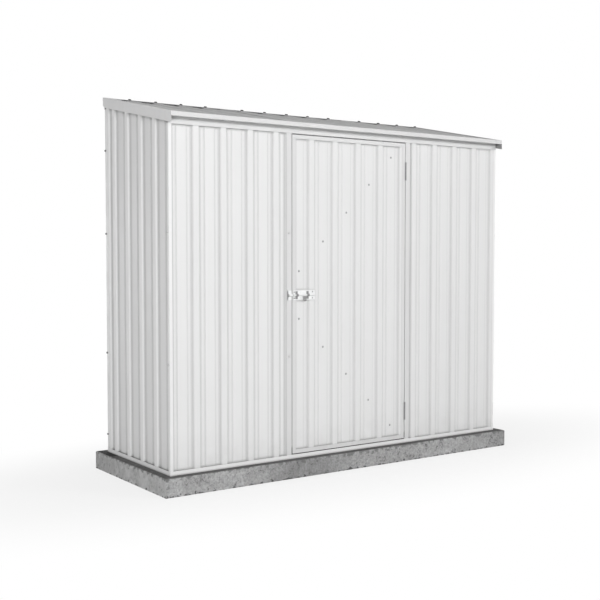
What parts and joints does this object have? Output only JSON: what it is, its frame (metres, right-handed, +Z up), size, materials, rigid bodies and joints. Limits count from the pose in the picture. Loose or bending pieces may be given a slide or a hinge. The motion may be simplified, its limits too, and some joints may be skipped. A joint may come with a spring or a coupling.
{
  "type": "metal tool shed",
  "caption": "Lean-to metal tool shed of ribbed sheets in folded channels on a concrete slab, with a hinged front door, a sliding pad bolt and a roof sloping to the front.",
  "frame": {"origin": "middle of the slab's underside", "axes": "+X to the right seen from the front, +Y to the back, +Z up"},
  "size_m": [2.36, 0.85, 2.0558],
  "materials": {
    "wall_sheet": "satin paint",
    "roof_sheet": "satin paint",
    "folded_trim": "satin paint",
    "galvanised_hardware": "zinc plated",
    "concrete": "cast, lightly pitted"
  },
  "bodies": {
    "shed": {"back_wall_left": "wall_sheet", "back_wall_middle": "wall_sheet", "back_wall_right": "wall_sheet", "barge_left": "folded_trim", "barge_right": "folded_trim", "base_channel_back": "folded_trim", "base_channel_front": "folded_trim", "base_channel_left": "folded_trim", "base_channel_right": "folded_trim", "bolt_keeper": "galvanised_hardware", "corner_trim_back_left": "folded_trim", "corner_trim_back_right": "folded_trim", "corner_trim_front_left": "folded_trim", "corner_trim_front_right": "folded_trim", "door_jamb_left": "folded_trim", "door_jamb_right": "folded_trim", "eave_flashing": "folded_trim", "front_wall_left": "wall_sheet", "front_wall_right": "wall_sheet", "hinge_lower_frame_leaf": "galvanised_hardware", "hinge_lower_pin": "galvanised_hardware", "hinge_upper_frame_leaf": "galvanised_hardware", "hinge_upper_pin": "galvanised_hardware", "left_wall": "wall_sheet", "rear_flashing": "folded_trim", "right_wall": "wall_sheet", "roof_sheet_left": "roof_sheet", "roof_sheet_middle": "roof_sheet", "roof_sheet_right": "roof_sheet", "slab": "concrete", "top_channel_back": "folded_trim", "top_channel_front": "folded_trim", "top_channel_left": "folded_trim", "top_channel_right": "folded_trim"},
    "door": {"door_panel": "wall_sheet", "door_rail_bottom": "folded_trim", "door_rail_top": "folded_trim", "door_stile_latch": "folded_trim", "door_stile_hinge": "folded_trim", "door_brace_upper": "folded_trim", "door_brace_lower": "folded_trim", "hinge_upper_door_leaf": "galvanised_hardware", "hinge_lower_door_leaf": "galvanised_hardware", "bolt_plate": "galvanised_hardware"},
    "bolt": {"bolt": "galvanised_hardware"}
  },
  "joints": [
    {"name": "door_swing", "type": "hinge", "parent": "shed", "child": "door", "pos_m": [0.397, -0.3788, 0.977], "axis": [0, 0, 1], "range_deg": [0, 120]},
    {"name": "bolt_slide", "type": "slide", "parent": "door", "child": "bolt", "axis": [-1, 0, 0], "range_m": [0, 0.03]}
  ]
}
